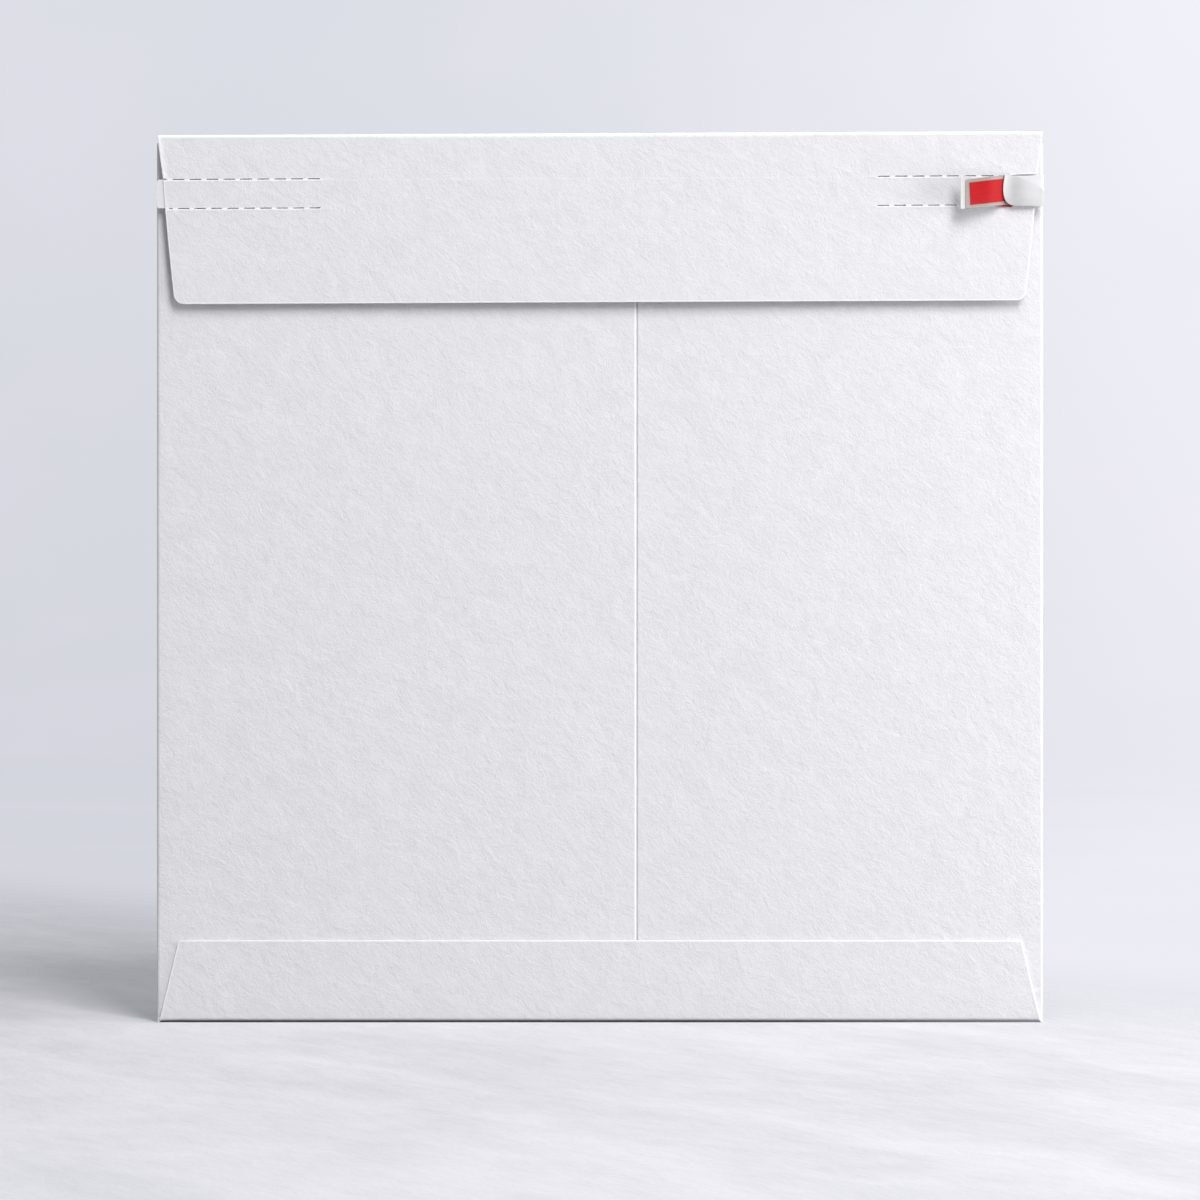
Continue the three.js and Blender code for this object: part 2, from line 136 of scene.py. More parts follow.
def give_out(tree, group_output, **results):
    """Links the results of an effect to its outputs of the same names."""
    for name, result in results.items():
        tree.links.new(result, group_output.inputs[name])


# The backdrop glows, and its tone paints light and shade: shaded on the left and low down, lit on the right
# and high up.
backdrop_shaded_left = (0.705, 0.716, 0.772, 1)
backdrop_lit_right = (0.9, 0.895, 0.96, 1)
backdrop_shaded_low = (0.93, 0.93, 0.935, 1)
backdrop_lit_high = (1.03, 1.03, 1.03, 1)
cloud_cool = (0.972, 0.985, 0.985, 1)
cloud_warm = (1.005, 0.995, 1.005, 1)

tone_tree, _, tone_out = new_effect("Backdrop Tone", [], [("Colour", "Color")])
studio_place = add_node(tone_tree, "TexCoord").outputs["Object"]
apart = add_node(tone_tree, "SeparateXYZ", {0: studio_place})
flat_place = add_node(tone_tree, "CombineXYZ", {"X": apart.outputs["X"], "Y": apart.outputs["Y"]})
distance = add_node(tone_tree, "VectorMath", {0: flat_place.outputs[0]}, operation="LENGTH")
sideways = work_out(tone_tree, "DIVIDE", apart.outputs["X"], distance.outputs["Value"])
across = spread_out(tone_tree, sideways, -0.12, 0.3, how="SMOOTHSTEP")
side_painted_shade = blend_colours(tone_tree, across, backdrop_shaded_left, backdrop_lit_right)
cloud = add_node(tone_tree, "TexNoise", {"Vector": studio_place, "Scale": 4.5, "Detail": 5.0})
cloud_share = spread_out(tone_tree, cloud.outputs["Fac"], 0.35, 0.65)
cloud_tone = blend_colours(tone_tree, cloud_share, cloud_cool, cloud_warm)
clouded = blend_colours(tone_tree, 1.0, side_painted_shade, cloud_tone, how="MULTIPLY")
upward = spread_out(tone_tree, apart.outputs["Z"], -0.1, 0.5)
height_painted_shade = blend_colours(tone_tree, upward, backdrop_shaded_low, backdrop_lit_high)
whole_tone = blend_colours(tone_tree, 1.0, clouded, height_painted_shade, how="MULTIPLY")
give_out(tone_tree, tone_out, Colour=whole_tone)


def tone_glow(tree):
    """Shows the backdrop's tone as it is, whatever light falls there."""
    tone = add_node(tree, "Group", node_tree=tone_tree)
    return add_node(tree, "Emission", {"Color": tone.outputs["Colour"], "Strength": 1.0}).outputs[0]


backdrop_material, tree = new_material("backdrop_paint")
add_node(tree, "OutputMaterial", {"Surface": tone_glow(tree)})


def blend_values(tree, share, first, second):
    return add_node(tree, "Mix", {0: share, 2: first, 3: second}, data_type="FLOAT").outputs[0]


def scaled_colour(tree, colour, amount):
    return add_node(tree, "VectorMath", {0: colour, "Scale": amount}, operation="SCALE").outputs[0]


floor_pale = (0.812, 0.807, 0.846, 1)
floor_dark = (0.7, 0.696, 0.739, 1)
floor_bounce = 0.48
floor_lit_radius = 0.14
floor_fade_radius = 0.95
floor_right = (0.8, 0.6, 0)
trowel_slope = (0, 0, math.radians(24))
trowel_stroke = (0.009, 0.024, 0.02)

floor_material, tree = new_material("plaster_floor")
floor_place = add_node(tree, "TexCoord").outputs["Object"]
trowelled = add_node(
    tree,
    "Mapping",
    {"Vector": floor_place, "Rotation": trowel_slope, "Scale": trowel_stroke},
    vector_type="TEXTURE",
).outputs[0]
mottle = add_node(tree, "TexNoise", {"Vector": trowelled, "Scale": 1.0, "Detail": 7.0, "Roughness": 0.68})
patches = add_node(tree, "TexNoise", {"Vector": trowelled, "Scale": 0.2, "Detail": 4.0, "Distortion": 0.6})
smeared = blend_values(tree, 0.6, mottle.outputs["Fac"], patches.outputs["Fac"])
floor_colour = blend_colours(tree, spread_out(tree, smeared, 0.38, 0.62), floor_dark, floor_pale)
relief = add_node(tree, "Bump", {"Height": mottle.outputs["Fac"], "Strength": 0.8, "Distance": 0.0007})
ray = add_node(tree, "LightPath")
seen = work_out(tree, "MAXIMUM", ray.outputs["Is Camera Ray"], ray.outputs["Is Glossy Ray"])
given_back = spread_out(tree, seen, 0, 1, to_low=floor_bounce)
floor_tone = scaled_colour(tree, floor_colour, given_back)
plaster = add_node(
    tree, "BsdfPrincipled", {"Base Color": floor_tone, "Roughness": 0.9, "Normal": relief.outputs[0]}
)
# Further out, and to the right behind the envelope, the floor glows in the backdrop's tone: painted light in
# place of what the lamps give there.
reach = add_node(tree, "VectorMath", {0: floor_place}, operation="LENGTH")
fade = spread_out(tree, reach.outputs["Value"], floor_lit_radius, floor_fade_radius, how="SMOOTHSTEP")
rightward = add_node(tree, "VectorMath", {0: floor_place, 1: floor_right}, operation="DOT_PRODUCT")
right_fade = spread_out(tree, rightward.outputs["Value"], 0.02, 0.24, how="SMOOTHSTEP")
unlit = work_out(tree, "MULTIPLY", work_out(tree, "MAXIMUM", fade, right_fade), seen)
mixed = add_node(tree, "MixShader", {0: unlit, 1: plaster.outputs[0], 2: tone_glow(tree)})
add_node(tree, "OutputMaterial", {"Surface": mixed.outputs[0]})


def turned_surface(name, profile, material, turns=96):
    """A surface turned about the upright axis, from (radius, height) points in metres. A level one is closed
    in the middle."""
    shape = bmesh.new()
    rings = []
    for radius, height in profile:
        ring = []
        for i in range(turns):
            angle = 2 * math.pi * i / turns
            ring.append(shape.verts.new((radius * math.cos(angle), radius * math.sin(angle), height)))
        rings.append(ring)
    for lower, upper in zip(rings, rings[1:]):
        for i in range(turns):
            shape.faces.new((lower[i], lower[i - 1], upper[i - 1], upper[i]))
    if profile[0][1] == profile[-1][1]:
        shape.faces.new(rings[0])
    mesh = bpy.data.meshes.new(name)
    shape.to_mesh(mesh)
    shape.free()
    mesh.shade_smooth()
    mesh.materials.append(material)
    surface = put_in_scene(name, mesh)
    return surface


floor_radius = 1.6
wall_radius = 2.4
wall_height = 2.6
sweep = wall_radius - floor_radius
sweep_steps = 12
sweep_profile = []
for step in range(sweep_steps + 1):
    angle = math.radians(90 * step / sweep_steps)
    sweep_profile.append((floor_radius + sweep * math.sin(angle), sweep * (1 - math.cos(angle))))
turned_surface("floor", [(0.05, 0), (0.5, 0), (floor_radius, 0)], floor_material)
backdrop = turned_surface("backdrop", [*sweep_profile, (wall_radius, wall_height)], backdrop_material)
backdrop.visible_diffuse = False
backdrop.visible_shadow = False

world = bpy.data.worlds.new("studio_air")
bpy.context.scene.world = world
world.use_nodes = True
sky_light = 0.408
sky_tint = (0.95, 0.965, 1.0, 1)
air = world.node_tree
air.nodes.clear()
air_ray = add_node(air, "LightPath")
fill_light = add_node(air, "Background", {"Color": sky_tint, "Strength": sky_light})
seen_air = add_node(air, "Background", {"Color": backdrop_lit_right, "Strength": 1.0})
whole_air = add_node(
    air, "MixShader", {0: air_ray.outputs["Is Camera Ray"], 1: fill_light.outputs[0], 2: seen_air.outputs[0]}
)
add_node(air, "OutputWorld", {"Surface": whole_air.outputs[0]})


def studio_lamp(name, azimuth, elevation, distance, width, height, power, colour):
    """A soft box aimed at the envelope. Azimuth 0 is in front of the closure side and 90 to its right."""
    lamp = bpy.data.lights.new(name, "AREA")
    lamp.shape = "RECTANGLE"
    lamp.size = width
    lamp.size_y = height
    lamp.energy = power
    lamp.color = colour
    holder = put_in_scene(name, lamp)
    turn, tilt = math.radians(azimuth), math.radians(elevation)
    aim = Vector((math.sin(turn) * math.cos(tilt), -math.cos(turn) * math.cos(tilt), math.sin(tilt)))
    holder.location = Vector((0, 0, camera_height * mm)) + aim * distance
    holder.rotation_mode = "QUATERNION"
    holder.rotation_quaternion = aim.to_track_quat("Z", "Y")
    holder.visible_camera = False


key_tint = (1.0, 0.99, 0.98)
low_tint = (1.0, 0.995, 0.99)
studio_lamp(
    "key_lamp", azimuth=21.2, elevation=35.4, distance=2, width=0.62, height=1.18, power=29.2, colour=key_tint
)
studio_lamp(
    "low_lamp", azimuth=72, elevation=5, distance=0.58, width=0.3, height=0.3, power=1.74, colour=low_tint
)


# The pocket is one blank of white board, folded round: the address side, a narrow wall down each side of it,
# and two back panels that meet off centre, the left one glued over the right one.
def follow(path, start, heading, along, depth):
    """Where a point of a folded sheet lies in its section. The path is a list of lengths of the sheet's outer
    face, each with the turn that it makes, in degrees to the left. Depth goes to the left of the path."""
    across, up = start
    angle = math.radians(heading)
    for length, turn in path:
        part = min(along, length)
        swing = math.radians(turn) * part / length
        if turn:
            bend_radius = length / math.radians(turn)
            across += bend_radius * (math.sin(angle + swing) - math.sin(angle))
            up += bend_radius * (math.cos(angle) - math.cos(angle + swing))
        else:
            across += part * math.cos(angle)
            up += part * math.sin(angle)
        angle += swing
        along -= part
        if along <= 0:
            break
    return across - depth * math.sin(angle), up + depth * math.cos(angle)


def split_evenly(low, high, step):
    """Even steps from low to high, none longer than the step."""
    count = max(1, math.ceil((high - low) / step - 1e-6))
    return [low + (high - low) * i / count for i in range(count + 1)]


def grid_lines(low, high, step, folds, fold_step=0.2):
    """Lines across a blank: close ones over each fold, a (low, high) stretch, and wide ones between."""
    edges = [low]
    for fold_low, fold_high in sorted(folds):
        edges += [fold_low, fold_high]
    edges.append(high)
    lines = []
    for i in range(0, len(edges), 2):
        lines += split_evenly(edges[i], edges[i + 1], step)
        if i + 2 < len(edges):
            lines += split_evenly(edges[i + 1], edges[i + 2], fold_step)[1:-1]
    return lines


closest_points = 0.06


def cut_loop(corners, lines_u, lines_v, step, corner_gap):
    """An outline with more points on it: where the lines cross it, and at least one every step, but none
    within the gap next to a corner."""
    loop = []
    for i, corner in enumerate(corners):
        end = Vector(corners[(i + 1) % len(corners)])
        start = Vector(corner)
        run = end - start
        shares = set(split_evenly(0, 1, step / max(run.length, step)))
        for lines, axis in ((lines_u, 0), (lines_v, 1)):
            if abs(run[axis]) > 1e-6:
                shares.update((line - start[axis]) / run[axis] for line in lines)
        kept = [0.0]
        for share in sorted(shares):
            clear = min(share, 1 - share) * run.length
            if clear > corner_gap and (share - kept[-1]) * run.length > closest_points:
                kept.append(share)
        loop += [start + run * share for share in kept]
    return loop


def inset_loop(loop, inset):
    """A closed loop moved to its left, which is the board's side of it."""
    moved = []
    for i, point in enumerate(loop):
        before = (point - loop[i - 1]).normalized()
        after = (loop[(i + 1) % len(loop)] - point).normalized()
        normal = Vector((-before.y - after.y, before.x + after.x)).normalized()
        lean = max(0.5, normal.dot(Vector((-after.y, after.x))))
        moved.append(point + normal * inset / lean)
    return moved


def edge_rings(loop, rounding, thickness):
    """The rings of points that round off a cut edge, from inside the outer face over to the inner face. Each
    is a loop and its depth."""
    soft = rounding * 0.3
    rings = [(rounding * 3.5, 0), (rounding * 2.5, 0), (rounding, 0), (soft, soft), (0, rounding)]
    rings += [(0, thickness - rounding), (soft, thickness - soft)]
    rings += [(rounding, thickness), (rounding * 3.5, thickness)]
    return [(inset_loop(loop, inset), depth) for inset, depth in rings]


def line_gaps(lines, step):
    """The wider gap beside each line, at most the step."""
    gaps = [0, *(high - low for low, high in zip(lines, lines[1:])), 0]
    return [min(step, max(before, after)) for before, after in zip(gaps, gaps[1:])]


def reach_of(points):
    """The lowest and the highest that some points come, both ways."""
    return [[pick(point[k] for point in points) for k in (0, 1)] for pick in (min, max)]


clear_of_edge = 0.35


def blank_net(loops, lines_u, lines_v, step):
    """The points and faces that cover a blank. Its first loop is the outline and the others are cuts. Gives
    the points, the faces, and which points each loop has become."""
    points = [point for loop in loops for point in loop]
    near = kdtree.KDTree(len(points))
    for i, point in enumerate(points):
        near.insert(point.to_3d(), i)
    near.balance()
    rims, at = [], 0
    for loop in loops:
        rims.append(list(range(at, at + len(loop))))
        at += len(loop)
    lows, highs = reach_of(loops[0])
    for u, gap_u in zip(lines_u, line_gaps(lines_u, step)):
        for v, gap_v in zip(lines_v, line_gaps(lines_v, step)):
            inside = lows[0] < u < highs[0] and lows[1] < v < highs[1]
            if inside and near.find((u, v, 0))[2] > clear_of_edge * min(gap_u, gap_v):
                points.append(Vector((u, v)))
    borders = [rims[0], *[rim[::-1] for rim in rims[1:]]]
    net, _, net_faces, sources, _, owners = delaunay_2d_cdt(points, [], borders, 0, 1e-5)
    became = {source: i for i, group in enumerate(sources) for source in group}
    faces = [face for face, owner in zip(net_faces, owners) if list(owner) == [0]]
    return net, faces, [[became[i] for i in rim] for rim in rims]


finest_rounding = 0.05
# Cut edges are whitened, partly as the raw board at the cut and partly as a painted highlight.
cut_white_and_highlight = 0.6


def cut_board(
    name, outline, lines_u, lines_v, place, thickness, step, rounding=0.12, cuts=(), mirrored=False, highlight_of=None
):
    """Cuts a piece from a flat blank, rounds its cut edges and folds it to shape. The outline runs to the
    left round the blank, and each cut to the right. place(u, v, depth) gives a point of the folded sheet.
    Its cut edges are whitened, partly as raw board and partly as a painted highlight, and the last
    function, of (u, v), says how much painted highlight whitens its outer face."""
    rings = [edge_rings(cut_loop(outline, lines_u, lines_v, step, rounding * 3.8), rounding, thickness)]
    for cut in cuts:
        rings.append(edge_rings(list(map(Vector, cut)), min(rounding, finest_rounding), thickness))
    net, faces, rims = blank_net([ring[0][0] for ring in rings], lines_u, lines_v, step)
    places, blanks, whites = [], [], []

    def add_point(point, depth, white):
        places.append(Vector(place(point.x, point.y, depth)) * mm)
        blanks.append(Vector((-point.x if mirrored else point.x, point.y, depth)) * mm)
        whites.append(white)
        return len(places) - 1

    outer = [add_point(point, 0, highlight_of(point.x, point.y) if highlight_of else 0.0) for point in net]
    inner = [add_point(point, thickness, 0.0) for point in net]
    polygons = []
    for face in faces:
        polygons.append([outer[i] for i in face])
        polygons.append([inner[i] for i in reversed(face)])
    for ring, rim in zip(rings, rims):
        bands = [[outer[i] for i in rim]]
        for loop, depth in ring[1:-1]:
            bands.append([add_point(point, depth, cut_white_and_highlight) for point in loop])
        bands.append([inner[i] for i in rim])
        for first, second in zip(bands, bands[1:]):
            for i in range(len(rim)):
                polygons.append([first[i - 1], second[i - 1], second[i], first[i]])
    return sheet_piece(name, places, polygons, blanks, whites)


def sheet_piece(name, places, polygons, blanks, whites):
    """Makes the piece from its points and faces. Each point keeps its place on the flat blank, which the
    grain of the material follows, and how white it is painted, as raw board or as painted highlight."""
    mesh = bpy.data.meshes.new(name)
    mesh.from_pydata(places, [], polygons)
    shape = bmesh.new()
    shape.from_mesh(mesh)
    bmesh.ops.delete(shape, geom=[v for v in shape.verts if not v.link_faces], context="VERTS")
    bmesh.ops.recalc_face_normals(shape, faces=shape.faces)
    blank_layer = shape.verts.layers.float_vector.new("blank")
    edge_layer = shape.verts.layers.float.new("edge_whitening_and_highlight")
    numbers = {tuple(round(c, 9) for c in point): i for i, point in enumerate(places)}
    for vertex in shape.verts:
        i = numbers.get(tuple(round(c, 9) for c in vertex.co))
        if i is not None:
            vertex[blank_layer] = blanks[i]
            vertex[edge_layer] = whites[i]
    if shape.calc_volume(signed=True) < 0:
        bmesh.ops.reverse_faces(shape, faces=shape.faces)
    shape.to_mesh(mesh)
    shape.free()
    mesh.shade_smooth()
    return put_in_scene(name, mesh)


board = 0.5
crease_length = crease_radius * math.pi / 2
seam_glue = 0.1
seam_step = 0.34
seam_run = 26
panel_step = 4.0
stiff_margin = 30
back_ripple = 0.09
back_bulge = 0.1
front_ripple = 0.12
bulge_height = 220
fold_bow = 0.48
bow_height = 9
bow_ends = 1.6

half_width = box_mm("right_side_wall")[1].x
front_y = box_mm("front_panel")[1].y
back_y = box_mm("left_back_panel")[0].y
body_height = box_mm("top_wall")[1].z
crease_z = body_height - crease_radius
throat_z = box_mm("left_back_panel")[1].z
wall_top_z = box_mm("left_side_wall")[1].z
seam_x = box_mm("left_back_panel")[1].x
lap_x = box_mm("right_back_panel")[0].x
wall_x = half_width - crease_radius

wall_flat = front_y - back_y - 2 * crease_radius
front_fold = (wall_x, wall_x + crease_length)
back_fold = (front_fold[1] + wall_flat, front_fold[1] + wall_flat + crease_length)
left_end = back_fold[1] + wall_x + seam_x
right_end = back_fold[1] + wall_x - lap_x
wing_path = [(crease_length, 90), (wall_flat, 0), (crease_length, 90), (2 * wall_x, 0)]


def ease(share):
    """Rises smoothly from 0 to 1 as the share does."""
    share = min(1.0, max(0.0, share))
    return share * share * (3 - 2 * share)


def back_wave(x, z):
    """How far the closure side bulges at a place, in millimetres: board is never quite flat."""
    slack = ease((half_width - abs(x)) / stiff_margin) * ease(z / stiff_margin)
    ripple = back_ripple * slack * noise.noise(Vector((x / 46, 3.1, z / 58)))
    return ripple + back_bulge * slack * math.sin(math.pi * z / bulge_height)


def pocket_place(u, v, depth):
    """Folds the blank round. u runs both ways from the middle of the address side, and v is the height."""
    past = abs(u) - wall_x
    side = 1 if u > 0 else -1
    if past <= 0:
        slack = ease((wall_x - abs(u)) / stiff_margin) * ease(v / stiff_margin)
        slack *= ease((crease_z - v) / stiff_margin)
        out = front_ripple * slack * noise.noise(Vector((u / 60, 7.7, v / 60)))
        return u, front_y - depth + out, v + bottom_bow(u, v)
    x, y = follow(wing_path, (wall_x, -front_y), 0, past, depth)
    x, y = side * x, -y
    if past > back_fold[0] - wall_x:
        y -= back_wave(x, v)
        if side > 0:
            y += seam_dip(x)
    return x, y, v


def seam_dip(x):
    """How far the right back panel lies below the left one: it dives under its edge, then rises gently."""
    steep = 0.75 * ease((seam_x + 0.08 + seam_step - x) / seam_step)
    gentle = 0.25 * ease((seam_x + seam_run - x) / (seam_run - board))
    return (board + seam_glue) * (steep + gentle)


def bottom_bow(x, z):
    """The bottom fold bows up a trace between its ends, which is where the envelope touches the floor."""
    return fold_bow * ease((half_width - abs(x)) / bow_ends) * (1 - ease(z / bow_height))


def other_side(points):
    """The same points on the left, in the order in which the outline comes back to them."""
    return [(-u, v) for u, v in reversed(points)]


slant = (wall_top_z - throat_z) / (front_y - back_y)
wall_edges = (front_fold[0], back_fold[1])
wing_foot = [(wall_edges[0], crease_radius), *((u, 0) for u in wall_edges), (wall_edges[1], crease_radius)]
wing_top = [(wall_edges[1], throat_z), (front_fold[1], throat_z + slant * (front_y - back_y - crease_radius))]
wing_top += [(wall_edges[0], z) for z in (wall_top_z, crease_z)]
pocket_outline = [
    (-left_end, crease_radius),
    *other_side(wing_foot),
    *wing_foot,
    (right_end, crease_radius),
    (right_end, throat_z),
    *wing_top,
    *other_side(wing_top),
    (-left_end, throat_z),
]
seam_at = back_fold[1] + wall_x - seam_x
seam_fold = (seam_at - 0.84, seam_at + 0.12)
left_folds = [(-high, -low) for low, high in (front_fold, back_fold)]
pocket_folds = [front_fold, back_fold, *left_folds, seam_fold]

# The white that cut edges and painted highlights are blended to.
edge_white_and_highlight = (0.98, 0.98, 0.985, 1)
# Each layer of fibres: its length and width in millimetres, its roughness, and where its pattern starts.
fibre_layers = [(0.6, 0.48, 0.7, 0.3), (2.2, 1.65, 0.65, 4.7), (7.2, 5.2, 0.5, 9.1)]

fibre_tree, fibre_in, fibre_out = new_effect(
    "Board Fibre",
    [("Paper", "Color", (0.8, 0.8, 0.83, 1)), ("Fibre Angle", "Vector", (0, 0, 0))],
    [("Colour", "Color"), ("Roughness", "Float"), ("Height", "Float")],
)
blank = add_node(fibre_tree, "Attribute", attribute_name="blank").outputs["Vector"]
strands = []
for length, width, roughness, seed in fibre_layers:
    laid = add_node(
        fibre_tree,
        "Mapping",
        {
            "Vector": blank,
            "Location": (seed, seed, 0),
            "Rotation": fibre_in.outputs["Fibre Angle"],
            "Scale": (length * mm, width * mm, width * mm),
        },
        vector_type="TEXTURE",
    )
    matted = add_node(
        fibre_tree,
        "TexNoise",
        {"Vector": laid.outputs[0], "Scale": 1.0, "Detail": 3.0, "Roughness": roughness, "Distortion": 0.8},
    )
    strands.append(matted.outputs["Fac"])
felt = blend_values(fibre_tree, 0.55, strands[0], strands[1])
surface = blend_values(fibre_tree, 0.42, felt, strands[2])
shade = spread_out(fibre_tree, felt, 0.3, 0.7, 0.955, 1.035)
cloud_shade = spread_out(fibre_tree, strands[2], 0.3, 0.7, 0.972, 1.018)
speck_cells = add_node(fibre_tree, "TexVoronoi", {"Vector": blank, "Scale": 95.0, "Randomness": 1.0})
speck_pick = add_node(fibre_tree, "SeparateColor", {0: speck_cells.outputs["Color"]})
speck_size = spread_out(fibre_tree, speck_pick.outputs[0], 0.86, 1.0, 0.0, 0.018)
speck = work_out(fibre_tree, "LESS_THAN", speck_cells.outputs["Distance"], speck_size)
speck_shade = spread_out(fibre_tree, speck, 0, 1, 1.0, 0.86)
cloudy = work_out(fibre_tree, "MULTIPLY", shade, cloud_shade)
speckled = work_out(fibre_tree, "MULTIPLY", cloudy, speck_shade)
paper = scaled_colour(fibre_tree, fibre_in.outputs["Paper"], speckled)
edge = add_node(fibre_tree, "Attribute", attribute_name="edge_whitening_and_highlight")
whitened = blend_colours(fibre_tree, edge.outputs["Fac"], paper, edge_white_and_highlight)
dullness = spread_out(fibre_tree, surface, 0.3, 0.7, 0.95, 0.84)
give_out(fibre_tree, fibre_out, Colour=whitened, Roughness=dullness, Height=surface)


def finish_sheet(tree, effect, relief, specular):
    """Ends a sheet's material: its effect gives the colour and roughness, and the height of its relief."""
    bump = add_node(tree, "Bump", {"Height": effect.outputs["Height"], "Strength": 1.0, "Distance": relief})
    surface = add_node(
        tree,
        "BsdfPrincipled",
        {
            "Base Color": effect.outputs["Colour"],
            "Roughness": effect.outputs["Roughness"],
            "Normal": bump.outputs[0],
            "Specular IOR Level": specular,
        },
    )
    add_node(tree, "OutputMaterial", {"Surface": surface.outputs[0]})


board_white = (0.74, 0.734, 0.756, 1)
fibre_slope = (0, 0, math.radians(-42))
fibre_relief = 0.00042

board_material, tree = new_material("white_board")
fibre = add_node(tree, "Group", {"Paper": board_white, "Fibre Angle": fibre_slope}, node_tree=fibre_tree)
finish_sheet(tree, fibre, fibre_relief, specular=0.3)

pocket = cut_board(
    "pocket_blank",
    pocket_outline,
    grid_lines(-left_end, right_end, panel_step, pocket_folds, 0.12),
    grid_lines(0, crease_z, panel_step, []),
    pocket_place,
    board,
    panel_step,
    rounding=0.16,
    mirrored=True,
)
pocket.data.materials.append(board_material)
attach(pocket, "pocket_body")
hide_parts("front_panel", "left_side_wall", "right_side_wall", "left_back_panel", "right_back_panel")


# The bottom of the same board blank is folded under the body and up over both back panels, where it is glued
# down. Its ends are cut on a slant.
flap_back_y = back_y - seam_glue
bottom_front_y = front_y - crease_radius
bottom_back_y = flap_back_y - board + crease_radius
bottom_flat = bottom_front_y - bottom_back_y
bottom_path = [(crease_length, 90), (bottom_flat, 0), (crease_length, 90), (body_height, 0)]
bottom_start = crease_radius - 2 * crease_length - bottom_flat
bottom_top_z = box_mm("bottom_flap")[1].z
bottom_slant = 5.2
bottom_corner = 0.5


def bottom_place(u, v, depth):
    """Folds the bottom under and up. v counts up from the outer crease at the closure side."""
    y, z = follow(bottom_path, (-front_y, crease_radius), -90, v - bottom_start, depth)
    return u, -y - (back_wave(u, z) if y > 0 else 0), z + bottom_bow(u, z)


bottom_right = [
    (wall_x, bottom_start),
    (wall_x, crease_radius),
    (half_width - bottom_slant - 0.1, bottom_top_z - bottom_corner),
    (half_width - bottom_slant - bottom_corner, bottom_top_z),
]
bottom_left = other_side(bottom_right)
bottom_outline = [bottom_left[-1], *bottom_right, *bottom_left[:-1]]
bottom_folds = [(bottom_start, bottom_start + crease_length), (crease_radius - crease_length, crease_radius)]
bottom = cut_board(
    "bottom_flap_blank",
    bottom_outline,
    grid_lines(-wall_x, wall_x, panel_step, []),
    grid_lines(bottom_start, bottom_top_z, panel_step, bottom_folds),
    bottom_place,
    board,
    panel_step,
)
bottom.data.materials.append(board_material)
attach(bottom, "pocket_body")
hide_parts("bottom_wall", "bottom_flap")


# The top of the board blank crosses the mouth as a narrow wall. It is creased along both edges, to the
# address side and to the closure flap, and the flap's crease runs a little uphill to the right.
flap_rise = 0.5
top_half = box_mm("top_wall")[1].x
flap_outer_y = box_mm("closure_flap")[0].y
flap_crease_y = flap_outer_y + crease_radius
top_front_y = front_y - crease_radius
top_flat = top_front_y - flap_crease_y
top_path = [(crease_length, 90), (top_flat, 0)]


def top_place(u, v, depth):
    """Bends the top over. v counts from the address side's crease towards the closure side."""
    y, z = follow(top_path, (front_y, crease_z), 90, v, depth)
    return u, y, z + flap_rise * u / half_width * ease((top_front_y - y) / top_flat)


top_length = crease_length + top_flat
top_wall = cut_board(
    "top_wall_blank",
    [(-top_half, 0), (top_half, 0), (top_half, top_length), (-top_half, top_length)],
    grid_lines(-top_half, top_half, panel_step, []),
    grid_lines(0, top_length, panel_step, [(0, crease_length)]),
    top_place,
    board,
    panel_step,
)
top_wall.data.materials.append(board_material)
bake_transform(top_wall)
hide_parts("top_wall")


# The closure flap is the end of the same board blank, creased over to hang in front of the back panels. Two
# rows of punched cuts at each end mark the tear strip, which is already torn free beside the pull tab.
flap_edge_z = box_mm("closure_flap")[0].z
flap_depth = body_height - flap_edge_z
shoulder_drop = 11
shoulder_inset = 1.8
side_relief = 0.3
flap_inset = 4.7
flap_side_curve = 1.2
flap_corner_radius = 2.6
strip_drop = 11.1
strip_width = 7.2
bridge = 1.2
shortest_cut = 0.8
cut_width = 0.25
torn_gap = 0.3
torn_length = 6.2
torn_width = 0.6
nick_length = 0.9
perforated_from = 68.7
flap_swell = 0.25
flap_ripple = 0.16
strip_proud = 0.04
lip_proud = 0.13
# How strong the painted highlights along the flap's left edge and below its cuts are.
highlight_strength = 0.65
flap_step = 2.5
flap_path = [(crease_length, 90), (flap_depth, 0)]
flap_top_v = crease_z + crease_length
strip_top_z = body_height - strip_drop
strip_low_z = strip_top_z - strip_width
row_heights = (strip_top_z, strip_low_z)


def flap_side_x(z):
    """How far out the flap's side edge lies at a height."""
    drop = body_height - z
    if drop < shoulder_drop:
        return half_width - side_relief - (shoulder_inset - side_relief) * max(drop, 0) / shoulder_drop
    share = (drop - shoulder_drop) / (flap_depth - shoulder_drop)
    return half_width - shoulder_inset - (flap_inset - shoulder_inset) * share**flap_side_curve


def flap_lift(x, z):
    """How far the flap swells outwards at a place, in millimetres."""
    hang = ease((crease_z - z) / flap_depth)
    swell = flap_swell * hang * (0.6 + 0.4 * math.cos(math.pi * x / half_width))
    return swell + flap_ripple * hang * noise.noise(Vector((x / 38, 1.3, z / 30)))


def strip_relief(x, z):
    """The strip's upper edge stands a trace proud of the board above it, and each row of cuts has a lip."""
    ridge = strip_proud * ease((strip_top_z - z) / 0.4) * ease(1 - (strip_top_z - z) / 22)
    for row_z in row_heights:
        below = row_z - z - cut_width / 2
        if below > -0.1 and abs(x) > perforated_from - 1:
            ridge += lip_proud * ease((below + 0.1) / 0.2) * math.exp(-max(0, below - 0.1) / 0.4)
    return ridge


def flap_place(u, v, depth):
    """Hangs the flap down from its crease. v is the height, and goes on over the crease."""
    y, z = follow(flap_path, (flap_crease_y, body_height), 180, flap_top_v - v, depth)
    proud = flap_lift(u, v) + strip_relief(u, v)
    return u, y - proud, z + flap_rise * u / half_width


